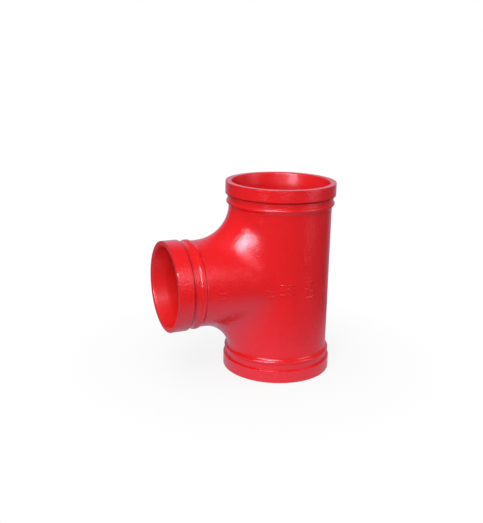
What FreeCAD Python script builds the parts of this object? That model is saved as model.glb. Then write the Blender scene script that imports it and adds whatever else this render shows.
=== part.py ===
"""A reducing tee for grooved pipe, cast in one piece of ductile iron.

The run stands on its lower end with its axis on Z, and the origin is the centre of that
end face. The branch leaves the run at mid height towards -X. Each of the three ends has
a land for the coupling's gasket, a groove for its keys and a bead behind the groove.
The casting is the skin, which is two barrels blended where they cross, less the core,
whose straight bores meet in a plain edge. All sizes are in millimetres.
"""

import FreeCAD, Part
import os
import Sketcher

V = FreeCAD.Vector

SIZES = {
    # Pipe sizes and the reach of the fitting
    "run_diameter": 141.3,
    "branch_diameter": 114.3,
    "run_length": 248.0,
    "branch_reach": 156.7,
    # The run's grooved ends: widths are along the pipe, depths and walls across it
    "run_land_width": 15.88,
    "run_groove_width": 7.6,
    "run_groove_depth": 2.9,
    "run_bead_width": 6.0,
    "run_mouth_wall": 7.8,
    # The branch's grooved end
    "branch_land_width": 19.5,
    "branch_groove_width": 8.7,
    "branch_groove_depth": 2.5,
    "branch_bead_width": 7.8,
    "branch_mouth_wall": 6.0,
    # The bead stands above the groove's floor, and the body is sunk below it
    "bead_height": 1.6,
    "bead_flank": 1.6,
    "body_step": 1.5,
    # The barrels and the blend where they cross
    "body_wall": 5.2,
    "neck_swell": 5.5,
    "crotch_blend": 49.0,
}


# Radii of a pipe, "run" or "branch", as formulas that the sheet understands
def land(pipe):
    return f"(Sizes.{pipe}_diameter / 2)"


def groove(pipe):
    return f"({land(pipe)} - Sizes.{pipe}_groove_depth)"


def skin(pipe):
    return f"({groove(pipe)} - Sizes.body_step)"


def core(pipe):
    return f"({skin(pipe)} - Sizes.body_wall)"


def mouth(pipe):
    return f"({land(pipe)} - Sizes.{pipe}_mouth_wall)"


# Depths behind a pipe's end face
def land_end(pipe):
    return f"Sizes.{pipe}_land_width"


def groove_end(pipe):
    return f"({land_end(pipe)} + Sizes.{pipe}_groove_width)"


def bead_end(pipe):
    return f"({groove_end(pipe)} + Sizes.{pipe}_bead_width)"


# The blend where the barrels cross, kept clear of the lands
MID_HEIGHT = "(Sizes.run_length / 2)"
BRANCH_ROOT = f"({skin('branch')} + Sizes.neck_swell)"
ROOM_UP = f"({MID_HEIGHT} - {BRANCH_ROOT} - {land_end('run')})"
ROOM_OUT = f"(Sizes.branch_reach - {skin('run')} - {land_end('branch')})"
CROTCH_BLEND = f"min(Sizes.crotch_blend; {ROOM_UP}; {ROOM_OUT})"

# Each end: its pipe, how its sketch is turned, and where its face is on the XZ plane.
# In the turned sketch, x is the radius and y is the depth behind the end face.
ENDS = {
    "lower": ("run", FreeCAD.Rotation(), "0", "0"),
    "upper": ("run", FreeCAD.Rotation(V(1, 0, 0), 180), "0", "Sizes.run_length"),
    "branch": ("branch", FreeCAD.Rotation(V(0, 0, 1), -90), "-Sizes.branch_reach", MID_HEIGHT),
}


def make_sheet(doc):
    """The spreadsheet of driving sizes, one named cell each."""
    sheet = doc.addObject("Spreadsheet::Sheet", "Sizes")
    for row, (name, value) in enumerate(SIZES.items(), start=1):
        sheet.set(f"A{row}", name)
        sheet.set(f"B{row}", str(value))
        sheet.setAlias(f"B{row}", name)
    doc.recompute()


def make_body(doc, label):
    body = doc.addObject("PartDesign::Body", label)
    body.Label = label
    body.Placement = FreeCAD.Placement()
    return body


def end_sketch(body, name, end):
    """An empty sketch on the XZ plane, turned into the frame of one end."""
    plane = next(f for f in body.Origin.OriginFeatures if f.Role == "XZ_Plane")
    _, turned, across, up = ENDS[end]
    sketch = body.newObject("Sketcher::SketchObject", name)
    sketch.AttachmentSupport = (plane, [""])
    sketch.MapMode = "FlatFace"
    sketch.AttachmentOffset = FreeCAD.Placement(V(), turned)
    sketch.setExpression("AttachmentOffset.Base.x", across)
    sketch.setExpression("AttachmentOffset.Base.y", up)
    return sketch


def tie(sketch, kind, geometry, point, formula):
    """Ties a point to the sketch's origin by one formula; 0 puts it on the axis."""
    if formula == "0":
        axis = -2 if kind == "DistanceX" else -1
        sketch.addConstraint(Sketcher.Constraint("PointOnObject", geometry, point, axis))
        return
    value = sketch.evalExpression(formula)
    index = sketch.addConstraint(Sketcher.Constraint(kind, -1, 1, geometry, point, value))
    sketch.setExpression(f"Constraints[{index}]", formula)


def draw_outline(sketch, corners):
    """Closes straight lines through the corners, each tied to its own two formulas."""
    points = [V(*(sketch.evalExpression(f) for f in corner), 0) for corner in corners]
    for here, there in zip(points, points[1:] + points[:1]):
        sketch.addGeometry(Part.LineSegment(here, there), False)
    for i, (radius, depth) in enumerate(corners):
        following = (i + 1) % len(corners)
        sketch.addConstraint(Sketcher.Constraint("Coincident", i, 2, following, 1))
        tie(sketch, "DistanceX", i, 1, radius)
        tie(sketch, "DistanceY", i, 1, depth)


def turn(body, name, sketch):
    """Turns a sketch about the pipe axis of its end and adds it to the body."""
    solid = body.newObject("PartDesign::Revolution", name)
    solid.Profile = sketch
    solid.ReferenceAxis = (sketch, ["V_Axis"])
    solid.Angle = 360
    body.Document.recompute()


def add_barrels(body, radius, branch_root):
    """The run's and the branch's barrels, which cross at mid height.

    radius gives a pipe's barrel radius, and branch_root the branch's at the run's axis.
    """
    sketch = end_sketch(body, "run_barrel_profile", "lower")
    length = "Sizes.run_length"
    draw_outline(sketch, [("0", "0"), (radius("run"), "0"), (radius("run"), length), ("0", length)])
    turn(body, "run_barrel", sketch)

    sketch = end_sketch(body, "branch_barrel_profile", "branch")
    reach = "Sizes.branch_reach"
    draw_outline(sketch, [("0", "0"), (radius("branch"), "0"), (branch_root, reach), ("0", reach)])
    turn(body, "branch_barrel", sketch)


def is_crossing(edge):
    """The edges that are neither straight nor round are where the barrels cross."""
    return edge.Curve.TypeId not in ("Part::GeomLine", "Part::GeomCircle")


def blend_crotch(body):
    """The large fillet all round the crossing, which carries the branch into the run."""
    base = body.Tip
    crossing = [f"Edge{i}" for i, e in enumerate(base.Shape.Edges, start=1) if is_crossing(e)]
    fillet = body.newObject("PartDesign::Fillet", "crotch_blend")
    fillet.Base = (base, crossing)
    fillet.setExpression("Radius", CROTCH_BLEND)
    body.Document.recompute()


def add_grooved_end(body, end):
    """The land, the groove and the bead, turned as one profile about the end's axis.

    The bead's root is sunk into the barrel's wall, so that the two join all round.
    """
    pipe = ENDS[end][0]
    crest = f"({groove(pipe)} + Sizes.bead_height)"
    root = f"({skin(pipe)} - Sizes.body_wall / 2)"
    corners = [
        ("0", "0"),
        (land(pipe), "0"),
        (land(pipe), land_end(pipe)),
        (groove(pipe), land_end(pipe)),
        (groove(pipe), groove_end(pipe)),
        (crest, f"({groove_end(pipe)} + Sizes.bead_flank)"),
        (crest, f"({bead_end(pipe)} - Sizes.bead_flank)"),
        (root, bead_end(pipe)),
        ("0", bead_end(pipe)),
    ]
    sketch = end_sketch(body, f"{end}_collar_profile", end)
    draw_outline(sketch, corners)
    turn(body, f"{end}_collar", sketch)


def add_mouth(body, end):
    """The mouth of a bore, which narrows under the land from the rim to the barrel's core."""
    pipe = ENDS[end][0]
    corners = [
        ("0", "0"),
        (mouth(pipe), "0"),
        (core(pipe), land_end(pipe)),
        ("0", land_end(pipe)),
    ]
    sketch = end_sketch(body, f"{end}_mouth_profile", end)
    draw_outline(sketch, corners)
    turn(body, f"{end}_mouth", sketch)


def make_core(doc):
    """The waterway: what the foundry's sand core leaves hollow."""
    body = make_body(doc, "core")
    add_barrels(body, core, core("branch"))
    for end in ENDS:
        add_mouth(body, end)
    return body


def make_casting(doc):
    """The skin with its grooved ends, less the core."""
    casting = make_body(doc, "tee_casting")
    add_barrels(casting, skin, BRANCH_ROOT)
    blend_crotch(casting)
    for end in ENDS:
        add_grooved_end(casting, end)

    hollow = casting.newObject("PartDesign::Boolean", "hollow")
    hollow.addObjects([make_core(doc)])
    hollow.Type = "Cut"
    doc.recompute()
    return casting


def check(doc, parts):
    """Stops if any object failed, or a part isn't one valid solid."""
    failed = [o.Name for o in doc.Objects if {"Invalid", "Error"} & set(o.State)]
    if failed:
        raise RuntimeError(f"these objects failed: {failed}")
    for part in parts:
        shape = part.Shape
        if shape.isNull() or not shape.isValid() or len(shape.Solids) != 1:
            raise RuntimeError(f"{part.Label} isn't one valid solid")


def main():
    doc = FreeCAD.newDocument("grooved_tee")
    make_sheet(doc)
    parts = [make_casting(doc)]
    doc.recompute()
    check(doc, parts)
    os.makedirs("parts", exist_ok=True)
    for part in parts:
        part.Shape.exportStep(f"parts/{part.Label}.step")
        print(part.Label, "volume", round(part.Shape.Volume / 1000, 1), "cubic centimetres")


main()
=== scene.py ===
"""The looks of a grooved reducing tee: one iron casting in glossy red enamel, on a white table.

The casting's whole surface is worked out here as sheets of points. The run stands on Z, the
branch leaves it at mid height towards -X, and every size is in millimetres until a mesh is made.
"""

import math

import bmesh
import bpy
import numpy as np
from mathutils import Matrix, Quaternion, Vector
from mathutils.bvhtree import BVHTree


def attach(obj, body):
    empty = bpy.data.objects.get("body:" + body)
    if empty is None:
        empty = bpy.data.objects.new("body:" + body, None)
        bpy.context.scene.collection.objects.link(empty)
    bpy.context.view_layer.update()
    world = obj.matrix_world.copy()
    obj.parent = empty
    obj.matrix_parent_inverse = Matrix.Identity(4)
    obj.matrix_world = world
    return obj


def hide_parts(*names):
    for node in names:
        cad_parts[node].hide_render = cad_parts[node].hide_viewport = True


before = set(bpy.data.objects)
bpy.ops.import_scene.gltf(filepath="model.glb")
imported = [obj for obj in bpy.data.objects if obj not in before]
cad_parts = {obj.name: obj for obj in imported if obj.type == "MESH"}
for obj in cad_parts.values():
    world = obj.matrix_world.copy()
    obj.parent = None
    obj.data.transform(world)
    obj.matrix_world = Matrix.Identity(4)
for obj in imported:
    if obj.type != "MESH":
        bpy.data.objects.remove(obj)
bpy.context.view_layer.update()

MM = 0.001

# The casting's driving sizes, as in its construction
RUN_LENGTH = 248.0
MID_HEIGHT = RUN_LENGTH / 2
REACH = 156.7
NECK_SWELL = 5.5
CROTCH_BLEND = 49.0
BEAD_HEIGHT = 1.6
BODY_STEP = 1.5
BODY_WALL = 5.2


def grooved_end(diameter, land_width, groove_width, groove_depth, bead_width, mouth_wall, swell):
    """A grooved end's radii, its depths behind the end face, and how its barrel swells."""
    land = diameter / 2
    groove = land - groove_depth
    skin = groove - BODY_STEP
    groove_end = land_width + groove_width
    return {
        "land": land,
        "groove": groove,
        "crest": groove + BEAD_HEIGHT,
        "skin": skin,
        "core": skin - BODY_WALL,
        "mouth": land - mouth_wall,
        "land_end": land_width,
        "groove_end": groove_end,
        "bead_end": groove_end + bead_width,
        "swell": swell,
    }


RUN_END = grooved_end(
    diameter=141.3,
    land_width=15.88,
    groove_width=7.6,
    groove_depth=2.9,
    bead_width=6.0,
    mouth_wall=7.8,
    swell=0.0,
)
BRANCH_END = grooved_end(
    diameter=114.3,
    land_width=19.5,
    groove_width=8.7,
    groove_depth=2.5,
    bead_width=7.8,
    mouth_wall=6.0,
    swell=NECK_SWELL / REACH,
)

# Roundings that the sand mould and the paint give to the edges
MOUTH_ROUNDING = 1.5
LAND_ROUNDING = 0.3
GROOVE_ROUNDING = 0.3
BEAD_ROUNDING = 2.6
BEAD_ROOT_ROUNDING = 4.0

# Where the bead's corners are along the pipe: the crest's behind the groove and before the
# bead's end, and the root's behind the bead's end. The collar stops a little further on.
CREST_START = 1.5
CREST_END = 1.9
ROOT_CORNER = 0.3
COLLAR_TAIL = 3.2

# Where the crotch's blend swallows a bead, the kink between them is rounded over this width,
# and fully so where the blend is raised this far above the barrel
KINK_WIDTH = 0.8
KINK_RAISED = 0.3

# Plain figures that the mould leaves in low relief. They read upwards and are so long along
# the run. Each group is laid on from an azimuth in degrees, so far across from the run's axis
# and so far above its lower end.
FIGURE_RELIEF = 1.0
FIGURES = [
    {"rows": "17", "long": 12.0, "azimuth": -35, "across": 0.0, "height": 119.5},
    {"rows": "171\n441", "long": 17.0, "azimuth": -16.5, "across": 0.0, "height": 121.5},
    {"rows": "174", "long": 24.0, "azimuth": 10, "across": 0.0, "height": 121.0},
    {"rows": "11", "long": 9.0, "azimuth": 0, "across": -102.0, "height": 122.0},
]

# A painted glint: a pale spot on the branch's rim where a small burr catches the light, and its
# radius
GLINT_SPOT = (-156.6, -48.1, 153.9)
GLINT_RADIUS = 1.3

# How many points the sheets have, and how long a straight step along a collar may be
ARC_STEPS = 5
LONGEST_STEP = 2.5
FRONT_COLUMNS = 96
BACK_COLUMNS = 112
WALL_ROWS = 36
NECK_ROWS = 34
BORE_ROWS = 20

# How near points are sewn into one, how often the body's points are drawn halfway to the
# middle of their neighbours, and from how many degrees on an edge stays hard
SEWN_WITHIN = 0.01
SOFTENING_ROUNDS = 30
HARD_EDGE = 35

# How far a point may be from where it is looked for, and from a land's end to be behind it
CLOSE = 0.1
BEHIND_LAND = 0.5


def divided(points, longest):
    """The same line with its long steps cut into equal ones."""
    reach = np.hypot(*np.diff(points, axis=0).T)
    shares = [np.linspace(0, 1, math.ceil(length / longest) + 1)[1:, None] for length in reach]
    steps = [a + (b - a) * share for a, b, share in zip(points, points[1:], shares)]
    return np.concatenate([points[:1], *steps])


def rounded_profile(corners, steps):
    """A line through corners (radius, depth, rounding), each turned into an arc of its rounding.

    An arc's centre is on the corner's bisector, and its points sweep evenly from one leg to
    the other: centre + (sin((1 - s) turn) first + sin(s turn) second) / sin(turn).
    """
    corners = np.array(corners, float)
    points = [corners[:1, :2]]
    sweep = np.linspace(0, 1, steps + 1)[:, None]
    for before, here, after in zip(corners, corners[1:], corners[2:]):
        back = (before - here)[:2] / np.hypot(*(before - here)[:2])
        ahead = (after - here)[:2] / np.hypot(*(after - here)[:2])
        turn = math.pi - math.acos(np.clip(back @ ahead, -1, 1))
        leg = here[2] * math.tan(turn / 2)
        bisector = (back + ahead) / np.hypot(*(back + ahead))
        centre = here[:2] + bisector * here[2] / math.cos(turn / 2)
        first = here[:2] + back * leg - centre
        second = here[:2] + ahead * leg - centre
        arc = np.sin((1 - sweep) * turn) * first + np.sin(sweep * turn) * second
        points.append(centre + arc / math.sin(turn))
    points.append(corners[-1:, :2])
    return divided(np.concatenate(points), LONGEST_STEP)


def collar_profile(end):
    """From the bore, round the mouth, over land, groove and bead, and down to the barrel."""
    tail = end["bead_end"] + COLLAR_TAIL
    root = end["bead_end"] + ROOT_CORNER
    return rounded_profile(
        [
            (end["core"], end["land_end"], 0),
            (end["mouth"], 0, MOUTH_ROUNDING),
            (end["land"], 0, LAND_ROUNDING),
            (end["land"], end["land_end"], LAND_ROUNDING),
            (end["groove"], end["land_end"], GROOVE_ROUNDING),
            (end["groove"], end["groove_end"], GROOVE_ROUNDING),
            (end["crest"], end["groove_end"] + CREST_START, BEAD_ROUNDING),
            (end["crest"], end["bead_end"] - CREST_END, BEAD_ROUNDING),
            (end["skin"] + end["swell"] * root, root, BEAD_ROOT_ROUNDING),
            (end["skin"] + end["swell"] * tail, tail, 0),
        ],
        ARC_STEPS,
    )


def around_run(angle, radius, height):
    """Points on the run: (-radius cos(angle), radius sin(angle), height).

    The angle is about Z, and is 0 on the branch's side.
    """
    x = -radius * np.cos(angle)
    y = radius * np.sin(angle)
    return np.stack(np.broadcast_arrays(x, y, height), axis=-1)


def around_branch(angle, radius, x):
    """Points on the branch: (x, radius sin(angle), mid height + radius cos(angle)).

    The angle is about the branch's axis, and is 0 straight up.
    """
    y = radius * np.sin(angle)
    z = MID_HEIGHT + radius * np.cos(angle)
    return np.stack(np.broadcast_arrays(x, y, z), axis=-1)


def branch_skin(x):
    """The radius of the branch's barrel, which swells evenly from its end to the run's axis."""
    return BRANCH_END["skin"] + BRANCH_END["swell"] * (x + REACH)


def smooth_max(a, b, width):
    """The larger of two, plus near^2 width / 4, which rounds the kink between them.

    near falls from 1 where the two are equal to 0 where they are a width apart.
    """
    near = np.maximum(width - np.abs(a - b), 0) / width
    return np.maximum(a, b) + near**2 * width / 4


class Blend:
    """The blend round the crossing: the path of a ball that rolls along both barrels.

    For each angle about the branch, the ball's centre is one ball radius off the run's
    cylinder and off the branch's cone. The blend is the ball's arc between its two contacts:
    centre + ball (cos(a) to_run + sin(a) across).
    """

    def __init__(self, angle):
        tilt = math.atan(BRANCH_END["swell"])
        reach = RUN_END["skin"] + CROTCH_BLEND
        x = np.full_like(angle, -reach)
        # How far the ball is off the branch's axis depends on its x, so both settle in turn
        for _ in range(30):
            off_axis = branch_skin(x) + CROTCH_BLEND / math.cos(tilt)
            x = -np.sqrt(reach**2 - (off_axis * np.sin(angle)) ** 2)
        self.centre = around_branch(angle, off_axis, x)
        self.to_run = self.centre * (-1, -1, 0) / reach
        normal = around_branch(angle, math.cos(tilt), -math.sin(tilt)) - (0, 0, MID_HEIGHT)
        cosine = -(self.to_run * normal).sum(-1)
        self.sweep = np.arccos(cosine)
        self.across = (-normal - cosine[:, None] * self.to_run) / np.sin(self.sweep)[:, None]
        self.on_run = self.at(0 * angle)
        self.on_branch = self.at(self.sweep)

    def at(self, turn):
        """The arc's points at a turn from its contact with the run."""
        turn = np.asarray(turn)[..., None]
        return self.centre + CROTCH_BLEND * (np.cos(turn) * self.to_run + np.sin(turn) * self.across)

    def turn_at_height(self, height):
        """The turn at which the arc comes down to a height, or 0 where it begins lower."""
        # The tiny amount keeps the level arcs at the branch's sides from dividing by zero
        sine = (height - self.centre[:, 2]) / (CROTCH_BLEND * self.across[:, 2] - 1e-9)
        return np.arcsin(np.clip(sine, 0, 1))


def run_collar(angle, blend):
    """The upper collar's rows, raised where the crotch blend swallows the bead."""
    profile = collar_profile(RUN_END)
    radius = profile[:, :1] + 0 * angle
    height = RUN_LENGTH - profile[:, 1:]
    if blend is not None:
        behind_groove = profile[:, 1] > RUN_END["groove_end"]
        for row in np.flatnonzero(behind_groove):
            point = blend.at(blend.turn_at_height(height[row]))
            skin = np.hypot(point[:, 0], point[:, 1])
            raised = np.clip((skin - RUN_END["skin"]) / KINK_RAISED, 0, 1)
            radius[row] = smooth_max(radius[row], skin, 1e-6 + KINK_WIDTH * raised)
    return around_run(angle, radius, height)


def front_sheet(angle, blend):
    """The outer sheet above mid height: each column runs from the run's mouth to the branch's.

    A column goes down the run's wall, round the blend and out along the branch's cone, at
    even steps of its length on either side of the row that meets the back sheet's middle.
    """
    start_height = RUN_LENGTH - RUN_END["bead_end"] - COLLAR_TAIL
    end_x = -REACH + BRANCH_END["bead_end"] + COLLAR_TAIL
    tilt = math.atan(BRANCH_END["swell"])
    first_turn = blend.turn_at_height(start_height)
    start = blend.at(first_turn)
    ring = np.arctan2(start[:, 1], -start[:, 0])

    wall = np.maximum(start_height - blend.on_run[:, 2], 0)
    arc = CROTCH_BLEND * (blend.sweep - first_turn)
    cone = (blend.on_branch[:, 0] - end_x) / math.cos(tilt)
    length = wall + arc + cone
    share = wall[-1] / length[-1]
    steps = np.concatenate(
        [
            np.linspace(0, share, WALL_ROWS + 1)[1:],
            np.linspace(share, 1, NECK_ROWS + 1)[1:],
        ]
    )
    along = steps[:, None] * length
    down = around_run(ring, RUN_END["skin"], start_height - along)
    turned = blend.at(first_turn + np.clip(along - wall, 0, arc) / CROTCH_BLEND)
    x = blend.on_branch[:, 0] - (along - wall - arc) * math.cos(tilt)
    out = around_branch(angle, branch_skin(x), x)
    body = np.where((along < wall)[..., None], down, turned)
    body = np.where((along > wall + arc)[..., None], out, body)

    profile = collar_profile(BRANCH_END)[::-1]
    branch_collar = around_branch(angle, profile[:, :1], -REACH + profile[:, 1:])
    return ring, np.concatenate([run_collar(ring, blend), body[:-1], branch_collar])


def back_sheet(ring):
    """The outer sheet behind the branch, from the upper mouth straight down to the lower one."""
    collar = run_collar(ring, None)
    start_height = RUN_LENGTH - RUN_END["bead_end"] - COLLAR_TAIL
    height = np.linspace(start_height, RUN_LENGTH - start_height, 2 * WALL_ROWS + 1)[1:-1, None]
    wall = around_run(ring, RUN_END["skin"], height)
    return np.concatenate([collar, wall, upside_down(collar)[::-1]])


def crossing(angle):
    """Where the branch's bore meets the run's: x^2 + y^2 is the square of the run's core."""
    x = -np.sqrt(RUN_END["core"] ** 2 - (BRANCH_END["core"] * np.sin(angle)) ** 2)
    return around_branch(angle, BRANCH_END["core"], x)


def front_bore(angle, ring):
    """The waterway above mid height: down the run's bore to the crossing, then out."""
    meet = crossing(angle)
    meet_ring = np.arctan2(meet[:, 1], -meet[:, 0])
    start_height = RUN_LENGTH - RUN_END["land_end"]
    step = np.linspace(0, 1, BORE_ROWS + 1)[:, None]
    run_part = around_run(
        ring + (meet_ring - ring) * step,
        RUN_END["core"],
        start_height + (meet[:, 2] - start_height) * step,
    )
    x = meet[:, 0] + (-REACH + BRANCH_END["land_end"] - meet[:, 0]) * step[1:]
    branch_part = around_branch(angle, BRANCH_END["core"], x)
    return meet_ring, np.concatenate([run_part, branch_part])


def back_bore(ring, meet_ring):
    """The waterway behind the branch, whose columns close in on the crossing's sides."""
    start_height = RUN_LENGTH - RUN_END["land_end"]
    step = np.linspace(0, 1, BORE_ROWS + 1)[:, None]
    upper = around_run(
        ring + (meet_ring - ring) * step,
        RUN_END["core"],
        start_height + (MID_HEIGHT - start_height) * step,
    )
    return np.concatenate([upper, upside_down(upper)[-2::-1]])


def upside_down(points):
    """The same points with the run's two ends changed over."""
    return points * (1, 1, -1) + (0, 0, RUN_LENGTH)


def seen_from_ends(points):
    """For the run's ends and the branch's, the points' radii and depths behind the face."""
    x, y, z = points.T
    height = np.abs(z - MID_HEIGHT)
    from_run = (RUN_END, np.hypot(x, y), MID_HEIGHT - height)
    from_branch = (BRANCH_END, np.hypot(y, height), x + REACH)
    return (from_run, from_branch)


def are_inside(points):
    """Which points are in a bore. A depth beyond the branch's reach is past the run's axis."""
    tests = [
        (radius < end["mouth"] + CLOSE) & (depth < REACH)
        for end, radius, depth in seen_from_ends(points)
    ]
    return np.any(tests, axis=0)


def are_undercut(points):
    """Which points are behind the edge of the upper land or of the branch's land, where shade is
    painted.
    """
    above_lower_collar = points[:, 2] > RUN_END["bead_end"]
    tests = [
        (radius > end["groove"] - CLOSE)
        & (radius < end["land"] + CLOSE)
        & (np.abs(depth - end["land_end"]) < BEHIND_LAND)
        & above_lower_collar
        for end, radius, depth in seen_from_ends(points)
    ]
    return np.any(tests, axis=0)


def are_body(points):
    """Which points are on the outer skin, clear of the three collars."""
    tests = [
        depth > end["bead_end"] + COLLAR_TAIL - CLOSE
        for end, _, depth in seen_from_ends(points)
    ]
    return np.all(tests, axis=0) & ~are_inside(points)


def points_of(mesh):
    """A mesh's points as an array."""
    points = np.empty(3 * len(mesh.vertices))
    mesh.vertices.foreach_get("co", points)
    return points.reshape(-1, 3)


def mesh_from_sheets(name, sheets):
    """One closed mesh from grids of points, sewn where the grids share their edges.

    Its body is softened, and its points are marked as inside, and as behind a land's edge where
    painted shade goes.
    """
    vertices = []
    faces = []
    first = 0
    for sheet in sheets:
        rows, columns = sheet.shape[:2]
        number = first + np.arange(rows * columns).reshape(rows, columns)
        corners = (number[:-1, :-1], number[:-1, 1:], number[1:, 1:], number[1:, :-1])
        faces.append(np.stack(corners, axis=-1).reshape(-1, 4))
        vertices.append(sheet.reshape(-1, 3))
        first += rows * columns
    mesh = bpy.data.meshes.new(name)
    mesh.from_pydata((np.concatenate(vertices) * MM).tolist(), [], np.concatenate(faces).tolist())
    sewn = bmesh.new()
    sewn.from_mesh(mesh)
    bmesh.ops.remove_doubles(sewn, verts=sewn.verts, dist=SEWN_WITHIN * MM)
    bmesh.ops.recalc_face_normals(sewn, faces=sewn.faces)
    body = are_body(np.array([vertex.co for vertex in sewn.verts]) / MM)
    soft = [vertex for vertex, is_soft in zip(sewn.verts, body) if is_soft]
    for _ in range(SOFTENING_ROUNDS):
        bmesh.ops.smooth_vert(
            sewn, verts=soft, factor=0.5, use_axis_x=True, use_axis_y=True, use_axis_z=True
        )
    sewn.to_mesh(mesh)
    sewn.free()
    # The second mark tells the enamel where to paint shade behind the lands' edges
    for label, test in (("inside", are_inside), ("painted_shade_mask", are_undercut)):
        marked = mesh.attributes.new(label, "FLOAT", "POINT")
        marked.data.foreach_set("value", test(points_of(mesh) / MM).astype(np.float32))
    return mesh


def add_piece(name, mesh, material):
    """Puts a mesh in the scene as a smooth-shaded piece, with its hard edges kept."""
    mesh.shade_smooth()
    mesh.set_sharp_from_angle(angle=math.radians(HARD_EDGE))
    mesh.materials.append(material)
    piece = bpy.data.objects.new(name, mesh)
    bpy.context.scene.collection.objects.link(piece)
    return piece


def casting_mesh():
    """The casting's outer skin, its three collars and its waterway, as one closed surface."""
    angle = np.linspace(-math.pi / 2, math.pi / 2, FRONT_COLUMNS + 1)
    blend = Blend(angle)
    ring, front = front_sheet(angle, blend)
    meet_ring, bore = front_bore(angle, ring)
    turn = np.linspace(0, 1, BACK_COLUMNS + 1)
    back_ring = ring[-1] + (2 * math.pi - 2 * ring[-1]) * turn
    back_meet = meet_ring[-1] + (2 * math.pi - 2 * meet_ring[-1]) * turn
    sheets = [front, upside_down(front), back_sheet(back_ring)]
    sheets += [bore, upside_down(bore), back_bore(back_ring, back_meet)]
    return mesh_from_sheets("tee_enamel", sheets)


def figures_mesh(rows, long):
    """Figures as a mesh in millimetres, centred, and from one relief below 0 to one above.

    Their strokes are thinned and get a wide soft slope, as raised figures in a mould have.
    The typed rows are scaled to their length and then turned to read upwards.
    """
    curve = bpy.data.curves.new("figures", "FONT")
    curve.body = rows
    curve.align_x = "CENTER"
    curve.space_line = 0.85
    curve.offset = -0.04
    curve.extrude = 0.01
    curve.bevel_depth = 0.08
    curve.bevel_resolution = 3
    curve.resolution_u = 4
    typed = bpy.data.objects.new("typed figures", curve)
    mesh = bpy.data.meshes.new_from_object(typed)
    bpy.data.objects.remove(typed)
    bpy.data.curves.remove(curve)
    points = points_of(mesh)
    low = points.min(0)
    high = points.max(0)
    points = (points - (low + high) / 2) / (high[0] - low[0]) * long
    points[:, 2] *= FIGURE_RELIEF / points[:, 2].max()
    turned = np.stack([-points[:, 1], points[:, 0], points[:, 2]], axis=1)
    mesh.vertices.foreach_set("co", turned.ravel())
    return mesh


def drape(mesh, surface, azimuth, across, height):
    """Lays a flat mesh on a surface: each point is sent inwards and keeps its relief there."""
    turn = math.radians(azimuth)
    outwards = Vector((math.sin(turn), -math.cos(turn), 0))
    aside = Vector((math.cos(turn), math.sin(turn), 0))
    for vertex in mesh.vertices:
        start = outwards * 2 * RUN_LENGTH + aside * (across + vertex.co.x)
        start.z = height + vertex.co.y
        place, normal, _, _ = surface.ray_cast(start * MM, -outwards)
        vertex.co = place + normal * vertex.co.z * MM


def add_figures(casting, material):
    """The raised figures on the casting's side, painted with it."""
    corners = [vertex.co for vertex in casting.data.vertices]
    faces = [list(face.vertices) for face in casting.data.polygons]
    surface = BVHTree.FromPolygons(corners, faces)
    for number, figure in enumerate(FIGURES, start=1):
        mesh = figures_mesh(figure["rows"], figure["long"])
        drape(mesh, surface, figure["azimuth"], figure["across"], figure["height"])
        piece = add_piece(f"cast_figures_{number}", mesh, material)
        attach(piece, "root")


# How wide and how high the wall's waves and the enamel's grains are, in millimetres
WAVE_SIZE = (14.0, 0.6)
GRAIN_SIZE = (2.0, 0.42)

# The table in metres. Between two distances from a spot beside the fitting, its veil of white
# closes, and the share of white that gloss shows of it falls off: a pool of light painted on
# the table that only gloss shows.
TABLE_WIDTH = 0.56
TABLE_SPOT = (-0.02, 0.03, 0)
SPOT_DISTANCES = (0.08, 0.27)
TABLE_WHITE = (0.86, 1.0)
TABLE_PAINTED_POOL = (0.7, 0.24)

# The room in shares of white: its plain light at the horizon and overhead, and what gloss
# shows of it. That rises to the backdrop's share as a direction nears the backdrop's.
SKY_LIGHT = (0.2, 0.3)
ROOM_MIRRORED = 0.1
BACKDROP_MIRRORED = 0.7
BACKDROP_TOWARDS = (0.42, 0.9, 0.12)
BACKDROP_EDGE = (0.65, 0.97)

# The tint of white things in the gloss, and how far off the softboxes stand, in metres
MIRRORED_TINT = "#E0E2FF"
LAMP_DISTANCE = 1.5


def linear(hex_colour):
    """An sRGB hex colour as the linear colour that shaders want."""
    values = [int(hex_colour[i : i + 2], 16) / 255 for i in (1, 3, 5)]
    straight = [v / 12.92 if v <= 0.04045 else ((v + 0.055) / 1.055) ** 2.4 for v in values]
    return (*straight, 1.0)


def add_node(owner, kind, settings):
    """Adds a node to a material or a world, and returns its outputs.

    A setting is a field of the node, or a socket's value or the output that feeds it. A
    socket is named, or given by its number where several share a name.
    """
    node = owner.node_tree.nodes.new(kind)
    for name, value in settings.items():
        if isinstance(value, bpy.types.NodeSocket):
            owner.node_tree.links.new(value, node.inputs[name])
        elif isinstance(name, int) or name in node.inputs:
            node.inputs[name].default_value = value
        else:
            setattr(node, name, value)
    return node.outputs


def new_material(name):
    material = bpy.data.materials.new(name)
    material.use_nodes = True
    material.node_tree.nodes.clear()
    return material


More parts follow.
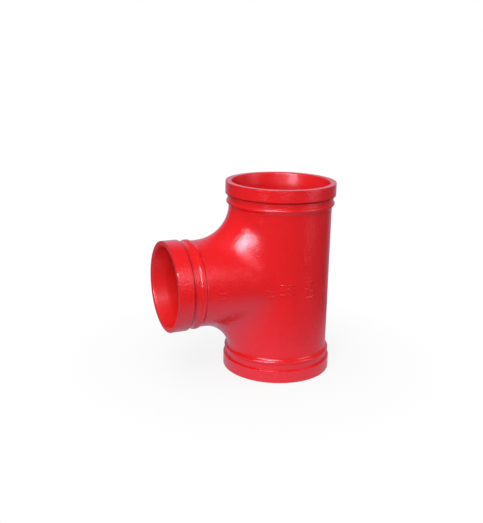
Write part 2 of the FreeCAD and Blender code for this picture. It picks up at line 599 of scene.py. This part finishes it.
def make_enamel():
    """Red alkyd enamel sprayed on sand-cast iron.

    The paint is glossy but follows the wall's waves and the grains of the mould, so a lamp's
    reflection breaks up into a grainy patch. Single grains of sand are too fine to show, so
    the grain is as coarse as the paint's orange peel. Its gloss is strong and a little cool.
    Inside the bores the paint is smoother and duller. Behind the edges of the upper land and the
    branch's land, painted shade darkens the red and takes away almost all gloss. A pale spot
    on the branch's rim is a painted glint.
    """
    material = new_material("red enamel on sand-cast iron")
    place = add_node(material, "ShaderNodeTexCoord", {})["Object"]
    wave = add_node(
        material,
        "ShaderNodeTexNoise",
        {"Vector": place, "Scale": 1 / (WAVE_SIZE[0] * MM), "Detail": 1.0, "Roughness": 0.4},
    )
    waved = add_node(
        material,
        "ShaderNodeBump",
        {"Height": wave["Fac"], "Strength": 0.35, "Distance": WAVE_SIZE[1] * MM},
    )
    grain = add_node(
        material,
        "ShaderNodeTexNoise",
        {"Vector": place, "Scale": 1 / (GRAIN_SIZE[0] * MM), "Detail": 2.0, "Roughness": 0.55},
    )
    inside = add_node(material, "ShaderNodeAttribute", {"attribute_name": "inside"})["Fac"]
    grain_strength = add_node(
        material, "ShaderNodeMapRange", {"Value": inside, "To Min": 1.0, "To Max": 0.5}
    )
    roughness = add_node(
        material, "ShaderNodeMapRange", {"Value": inside, "To Min": 0.13, "To Max": 0.3}
    )
    grained = add_node(
        material,
        "ShaderNodeBump",
        {
            "Height": grain["Fac"],
            "Normal": waved["Normal"],
            "Strength": grain_strength["Result"],
            "Distance": GRAIN_SIZE[1] * MM,
        },
    )
    # A pale spot painted on the branch's rim for the glint of a small burr
    glint_distance = add_node(
        material,
        "ShaderNodeVectorMath",
        {"operation": "DISTANCE", 0: place, 1: [c * MM for c in GLINT_SPOT]},
    )
    painted_glint = add_node(
        material,
        "ShaderNodeMapRange",
        {
            "Value": glint_distance["Value"],
            "From Min": 0.7 * GLINT_RADIUS * MM,
            "From Max": GLINT_RADIUS * MM,
            "To Min": 1.0,
            "To Max": 0.0,
        },
    )
    # Painted shade behind the lands' edges: a darker red and almost no gloss there
    painted_shade_mask = add_node(material, "ShaderNodeAttribute", {"attribute_name": "painted_shade_mask"})["Fac"]
    painted_shade = add_node(material, "ShaderNodeMapRange", {"Value": painted_shade_mask, "From Min": 0.6})
    gloss = add_node(
        material, "ShaderNodeMapRange", {"Value": painted_shade["Result"], "To Min": 1.0, "To Max": 0.1}
    )
    # The red, mixed towards the painted shade's dark red behind the lands' edges
    paint_with_painted_shade = add_node(
        material,
        "ShaderNodeMix",
        {
            "data_type": "RGBA",
            0: painted_shade["Result"],
            "A": linear("#DC1A1B"),
            "B": linear("#7E1013"),
        },
    )
    colour = add_node(
        material,
        "ShaderNodeMix",
        {
            "data_type": "RGBA",
            0: painted_glint["Result"],
            "A": paint_with_painted_shade["Result"],
            "B": linear("#F2D6D2"),
        },
    )
    paint = add_node(
        material,
        "ShaderNodeBsdfPrincipled",
        {
            "Base Color": colour["Result"],
            "Roughness": roughness["Result"],
            "IOR": 1.5,
            "Specular IOR Level": gloss["Result"],
            "Specular Tint": linear("#FAE8FF"),
            "Normal": grained["Normal"],
        },
    )
    add_node(material, "ShaderNodeOutputMaterial", {"Surface": paint["BSDF"]})
    return material


def seen_share(owner, mirrored):
    """1 for what the camera sees, and the mirrored share for what gloss or glass shows."""
    ray = add_node(owner, "ShaderNodeLightPath", {})
    gloss_or_glass = add_node(
        owner,
        "ShaderNodeMath",
        {"operation": "ADD", 0: ray["Is Glossy Ray"], 1: ray["Is Transmission Ray"]},
    )
    seen = add_node(
        owner,
        "ShaderNodeMath",
        {
            "operation": "MULTIPLY_ADD",
            "use_clamp": True,
            0: gloss_or_glass[0],
            1: mirrored,
            2: ray["Is Camera Ray"],
        },
    )
    return seen[0]


def seen_colour(owner):
    """White, but the cool tint of the studio's lamps in what gloss shows."""
    ray = add_node(owner, "ShaderNodeLightPath", {})
    seen = add_node(
        owner,
        "ShaderNodeMix",
        {
            "data_type": "RGBA",
            0: ray["Is Glossy Ray"],
            "A": linear("#FFFFFF"),
            "B": linear(MIRRORED_TINT),
        },
    )
    return seen["Result"]


def make_table():
    """White matt laminate, which looks plain white but for a faint shadow round the fitting.

    The eye sees the lit laminate under a veil of white, which closes with the distance from
    the fitting, so that the table's far edge doesn't show against the white room. In the
    enamel's gloss the table glows with a painted pool of light, pale beside the fitting and
    darker further off.
    """
    material = new_material("white matt laminate")
    place = add_node(material, "ShaderNodeTexCoord", {})["Object"]
    distance = add_node(
        material,
        "ShaderNodeVectorMath",
        {"operation": "DISTANCE", 0: place, 1: TABLE_SPOT},
    )
    # The second map is the painted pool of light that gloss shows of the table
    veil, mirrored = [
        add_node(
            material,
            "ShaderNodeMapRange",
            {
                "Value": distance["Value"],
                "From Min": SPOT_DISTANCES[0],
                "From Max": SPOT_DISTANCES[1],
                "To Min": near,
                "To Max": far,
            },
        )
        for near, far in (TABLE_WHITE, TABLE_PAINTED_POOL)
    ]
    shown = add_node(
        material,
        "ShaderNodeMath",
        {"operation": "MULTIPLY", 0: veil[0], 1: seen_share(material, 1.0)},
    )
    laminate = add_node(material, "ShaderNodeBsdfDiffuse", {"Color": linear("#D0D0D0")})
    white = add_node(
        material,
        "ShaderNodeEmission",
        {"Color": seen_colour(material), "Strength": seen_share(material, mirrored[0])},
    )
    both = add_node(material, "ShaderNodeMixShader", {0: shown[0], 1: laminate[0], 2: white[0]})
    add_node(material, "ShaderNodeOutputMaterial", {"Surface": both[0]})
    return material


def add_table():
    """A square table top on which the run's lower end stands."""
    half = TABLE_WIDTH / 2
    corners = [(-half, -half, 0), (half, -half, 0), (half, half, 0), (-half, half, 0)]
    mesh = bpy.data.meshes.new("table")
    mesh.from_pydata(corners, [], [(0, 1, 2, 3)])
    add_piece("table", mesh, make_table())


def make_world():
    """A dim room that is lighter towards its ceiling, with a white backdrop on the far side.

    The camera sees white all round. Gloss mirrors the backdrop, so the paint has pale edges
    and a deep red front. Everything else gets the room's plain light.
    """
    world = bpy.data.worlds.new("room with a white backdrop")
    bpy.context.scene.world = world
    world.use_nodes = True
    world.node_tree.nodes.clear()
    direction = add_node(world, "ShaderNodeTexCoord", {})["Generated"]
    towards = add_node(
        world,
        "ShaderNodeVectorMath",
        {"operation": "DOT_PRODUCT", 0: direction, 1: BACKDROP_TOWARDS},
    )
    mirrored = add_node(
        world,
        "ShaderNodeMapRange",
        {
            "Value": towards["Value"],
            "From Min": BACKDROP_EDGE[0],
            "From Max": BACKDROP_EDGE[1],
            "To Min": ROOM_MIRRORED,
            "To Max": BACKDROP_MIRRORED,
        },
    )
    parts = add_node(world, "ShaderNodeSeparateXYZ", {0: direction})
    light = add_node(
        world,
        "ShaderNodeMapRange",
        {"Value": parts["Z"], "To Min": SKY_LIGHT[0], "To Max": SKY_LIGHT[1]},
    )
    strength = add_node(
        world,
        "ShaderNodeMapRange",
        {
            "Value": seen_share(world, 1.0),
            "To Min": light[0],
            "To Max": seen_share(world, mirrored[0]),
        },
    )
    sky = add_node(
        world, "ShaderNodeBackground", {"Color": seen_colour(world), "Strength": strength[0]}
    )
    add_node(world, "ShaderNodeOutputWorld", {"Surface": sky[0]})


def direction_of(azimuth, elevation):
    """The direction of an azimuth and an elevation in degrees.

    Azimuth 0 is straight in front of the run, on the -Y side, and turns towards +X.
    """
    turn = math.radians(azimuth)
    rise = math.radians(elevation)
    level = math.cos(rise)
    return Vector((math.sin(turn) * level, -math.cos(turn) * level, math.sin(rise)))


def add_lamp(name, target, away, distance, size, power, roll=0):
    """A rectangular lamp that faces a place on the casting from a direction.

    The place is in millimetres, the distance and the size are in metres, the power is in
    watts, and the roll about the lamp's own axis is in degrees.
    """
    light = bpy.data.lights.new(name, "AREA")
    light.shape = "RECTANGLE"
    light.size, light.size_y = size
    light.energy = power
    lamp = bpy.data.objects.new(name, light)
    lamp.location = Vector(target) * MM + away * distance
    tilt = Quaternion((0, 0, 1), math.radians(roll))
    lamp.rotation_euler = (away.to_track_quat("Z", "Y") @ tilt).to_euler()
    lamp.visible_camera = False
    bpy.context.scene.collection.objects.link(lamp)
    return lamp


def add_softbox(name, azimuth, elevation, size, power, roll=0, mirrored=True):
    """A softbox that faces the middle of the run, and that the gloss may mirror or not."""
    away = direction_of(azimuth, elevation)
    softbox = add_lamp(name, (0, 0, MID_HEIGHT), away, LAMP_DISTANCE, size, power, roll)
    softbox.visible_glossy = mirrored


def add_card(name, target, azimuth, elevation, distance, size, power):
    """A pale card held near one place on the casting, which shows in the gloss alone."""
    away = direction_of(azimuth, elevation)
    card = add_lamp(name, target, away, distance, size, power)
    card.visible_diffuse = False


def aim_camera():
    """The photograph's view, worked out from the outline.

    Its angles are in radians, its distance and its shifts from the run's middle in
    millimetres, and its lens and the width of its frame in pixels.
    """
    azimuth, elevation, roll = -0.4259, 0.2788, 0.0184
    distance, lens_px, across, up_shift = 1002.6, 761.85, -47.97, 16.30
    frame_width_px, sensor = 483, 36.0
    back = np.array(
        [
            math.sin(azimuth) * math.cos(elevation),
            -math.cos(azimuth) * math.cos(elevation),
            math.sin(elevation),
        ]
    )
    right = np.cross(-back, (0, 0, 1))
    right /= np.linalg.norm(right)
    up = np.cross(right, -back)
    turned_right = math.cos(roll) * right + math.sin(roll) * up
    turned_up = -math.sin(roll) * right + math.cos(roll) * up
    centre = np.array([0, 0, MID_HEIGHT]) + turned_right * across + turned_up * up_shift
    camera = bpy.data.objects.new("camera", bpy.data.cameras.new("camera"))
    camera.data.sensor_fit = "HORIZONTAL"
    camera.data.sensor_width = sensor
    camera.data.lens = lens_px * sensor / frame_width_px
    camera.data.clip_start = 0.01
    matrix = np.eye(4)
    matrix[:3, 0] = turned_right
    matrix[:3, 1] = turned_up
    matrix[:3, 2] = back
    matrix[:3, 3] = (centre + back * distance) * MM
    camera.matrix_world = Matrix(matrix.tolist())
    bpy.context.scene.collection.objects.link(camera)
    bpy.context.scene.camera = camera


enamel = make_enamel()
casting = add_piece("tee_enamel", casting_mesh(), enamel)
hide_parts("tee_casting")
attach(casting, "root")
add_figures(casting, enamel)

add_table()
make_world()
add_softbox("left strip", -46.5, 30, (0.17, 1.35), 20, roll=-34)
add_softbox("right softbox", 43, 18, (0.65, 1.2), 3.4)
add_card("branch card", (-120, -54, 140), 10, 40, 0.23, (0.055, 0.18), 0.044)
add_softbox("side softbox", 90, 8, (0.8, 0.8), 7, mirrored=False)
add_softbox("ceiling softbox", -60, 72, (1.0, 1.0), 8, mirrored=False)
aim_camera()
bpy.context.scene.view_settings.view_transform = "Standard"
